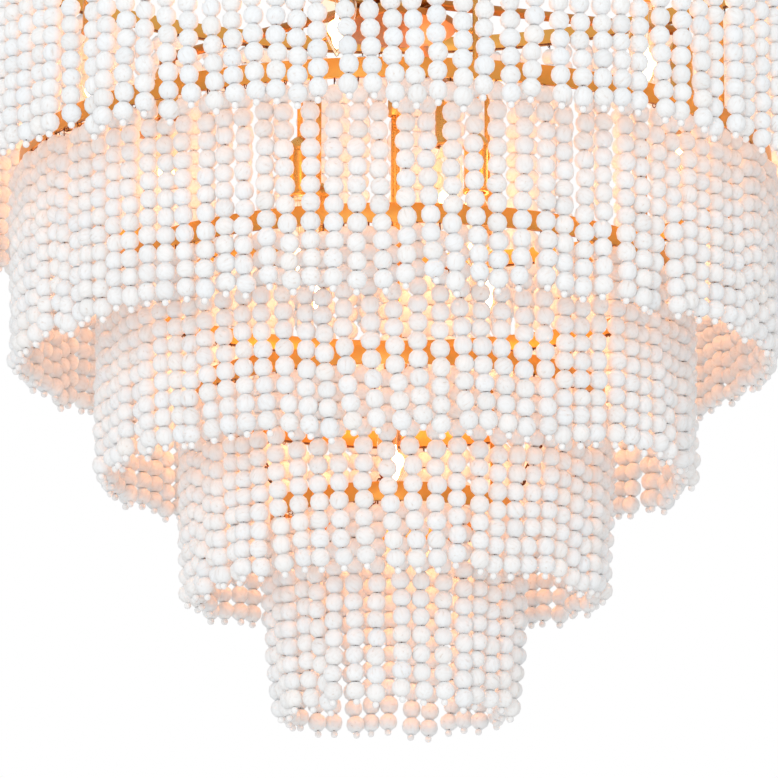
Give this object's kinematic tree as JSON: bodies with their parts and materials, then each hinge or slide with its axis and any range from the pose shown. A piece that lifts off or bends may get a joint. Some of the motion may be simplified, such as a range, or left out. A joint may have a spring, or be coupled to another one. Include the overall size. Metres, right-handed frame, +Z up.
{
  "type": "chandelier",
  "caption": "Round tiered chandelier of white wooden bead strands on gold metal bands, hung from a ceiling canopy by a swivel and stem.",
  "frame": {"origin": "middle of the ceiling bracket's top face, where it meets the ceiling", "axes": "+Z up into the ceiling, along the stem's axis; +X along the ceiling bracket; -Y towards the picture's viewer"},
  "size_m": [0.8598, 0.86, 1.0818],
  "materials": {
    "gold_metal": "satin gold plating",
    "steel": "zinc plated",
    "bead_wood": "matt whitewash over turned wood",
    "bulb_glass": "clear, with a warm glow when lit"
  },
  "bodies": {
    "ceiling": {"ceiling_bracket": "steel", "canopy": "gold_metal", "canopy_stud_left": "steel", "canopy_stud_right": "steel", "canopy_knob_left": "gold_metal", "canopy_knob_right": "gold_metal", "hanger_socket": "steel"},
    "yoke": {"swivel_yoke": "steel"},
    "cross": {"swivel_cross": "steel"},
    "fixture": {"stem": "gold_metal", "top_hub": "gold_metal", "lamp_cross": "gold_metal", "column_upper": "gold_metal", "column_coupling": "gold_metal", "column_lower": "gold_metal", "tier1_frame": "gold_metal", "tier2_frame": "gold_metal", "tier3_frame": "gold_metal", "tier4_frame": "gold_metal", "tier5_frame": "gold_metal", "tier1_bead_strands": "bead_wood", "tier2_bead_strands": "bead_wood", "tier3_bead_strands": "bead_wood", "tier4_bead_strands": "bead_wood", "tier5_bead_strands": "bead_wood", "tier1_tie_rod_1": "gold_metal", "tier1_tie_rod_2": "gold_metal", "tier1_tie_rod_3": "gold_metal", "tier2_tie_rod_1": "gold_metal", "tier2_tie_rod_2": "gold_metal", "tier2_tie_rod_3": "gold_metal", "tier3_tie_rod_1": "gold_metal", "tier3_tie_rod_2": "gold_metal", "tier3_tie_rod_3": "gold_metal", "tier4_tie_rod_1": "gold_metal", "tier4_tie_rod_2": "gold_metal", "tier4_tie_rod_3": "gold_metal", "outer_lamp_1_socket": "gold_metal", "outer_lamp_2_socket": "gold_metal", "outer_lamp_3_socket": "gold_metal", "outer_lamp_4_socket": "gold_metal", "outer_lamp_5_socket": "gold_metal", "outer_lamp_6_socket": "gold_metal", "inner_lamp_1_socket": "gold_metal", "inner_lamp_2_socket": "gold_metal", "inner_lamp_3_socket": "gold_metal", "inner_lamp_4_socket": "gold_metal", "low_lamp_socket": "gold_metal"},
    "outer_lamp_1_bulb": {"outer_lamp_1_bulb": "bulb_glass"},
    "outer_lamp_2_bulb": {"outer_lamp_2_bulb": "bulb_glass"},
    "outer_lamp_3_bulb": {"outer_lamp_3_bulb": "bulb_glass"},
    "outer_lamp_4_bulb": {"outer_lamp_4_bulb": "bulb_glass"},
    "outer_lamp_5_bulb": {"outer_lamp_5_bulb": "bulb_glass"},
    "outer_lamp_6_bulb": {"outer_lamp_6_bulb": "bulb_glass"},
    "inner_lamp_1_bulb": {"inner_lamp_1_bulb": "bulb_glass"},
    "inner_lamp_2_bulb": {"inner_lamp_2_bulb": "bulb_glass"},
    "inner_lamp_3_bulb": {"inner_lamp_3_bulb": "bulb_glass"},
    "inner_lamp_4_bulb": {"inner_lamp_4_bulb": "bulb_glass"},
    "low_lamp_bulb": {"low_lamp_bulb": "bulb_glass"}
  },
  "joints": [
    {"name": "swivel_turn", "type": "hinge", "parent": "ceiling", "child": "yoke", "pos_m": [0, 0, -0.0178], "axis": [0, 0, 1], "range_deg": [-180, 180]},
    {"name": "swing_about_x", "type": "hinge", "parent": "yoke", "child": "cross", "pos_m": [0, 0, -0.032], "axis": [1, 0, 0], "range_deg": [-12, 12]},
    {"name": "swing_about_y", "type": "hinge", "parent": "cross", "child": "fixture", "pos_m": [0, 0, -0.032], "axis": [0, 1, 0], "range_deg": [-12, 12]},
    {"name": "outer_lamp_1_bulb_turn", "type": "hinge", "parent": "fixture", "child": "outer_lamp_1_bulb", "pos_m": [0.27251, 0.09919, -0.4668], "axis": [0, 0, -1], "range_deg": [0, 1080]},
    {"name": "outer_lamp_2_bulb_turn", "type": "hinge", "parent": "fixture", "child": "outer_lamp_2_bulb", "pos_m": [0.05036, 0.28559, -0.4668], "axis": [0, 0, -1], "range_deg": [0, 1080]},
    {"name": "outer_lamp_3_bulb_turn", "type": "hinge", "parent": "fixture", "child": "outer_lamp_3_bulb", "pos_m": [-0.22215, 0.18641, -0.4668], "axis": [0, 0, -1], "range_deg": [0, 1080]},
    {"name": "outer_lamp_4_bulb_turn", "type": "hinge", "parent": "fixture", "child": "outer_lamp_4_bulb", "pos_m": [-0.27251, -0.09919, -0.4668], "axis": [0, 0, -1], "range_deg": [0, 1080]},
    {"name": "outer_lamp_5_bulb_turn", "type": "hinge", "parent": "fixture", "child": "outer_lamp_5_bulb", "pos_m": [-0.05036, -0.28559, -0.4668], "axis": [0, 0, -1], "range_deg": [0, 1080]},
    {"name": "outer_lamp_6_bulb_turn", "type": "hinge", "parent": "fixture", "child": "outer_lamp_6_bulb", "pos_m": [0.22215, -0.18641, -0.4668], "axis": [0, 0, -1], "range_deg": [0, 1080]},
    {"name": "inner_lamp_1_bulb_turn", "type": "hinge", "parent": "fixture", "child": "inner_lamp_1_bulb", "pos_m": [0.08656, 0.07264, -0.6128], "axis": [0, 0, -1], "range_deg": [0, 1080]},
    {"name": "inner_lamp_2_bulb_turn", "type": "hinge", "parent": "fixture", "child": "inner_lamp_2_bulb", "pos_m": [-0.07264, 0.08656, -0.6128], "axis": [0, 0, -1], "range_deg": [0, 1080]},
    {"name": "inner_lamp_3_bulb_turn", "type": "hinge", "parent": "fixture", "child": "inner_lamp_3_bulb", "pos_m": [-0.08656, -0.07264, -0.6128], "axis": [0, 0, -1], "range_deg": [0, 1080]},
    {"name": "inner_lamp_4_bulb_turn", "type": "hinge", "parent": "fixture", "child": "inner_lamp_4_bulb", "pos_m": [0.07264, -0.08656, -0.6128], "axis": [0, 0, -1], "range_deg": [0, 1080]},
    {"name": "low_lamp_bulb_turn", "type": "hinge", "parent": "fixture", "child": "low_lamp_bulb", "pos_m": [0, 0, -0.7893], "axis": [0, 0, -1], "range_deg": [0, 1080]}
  ]
}
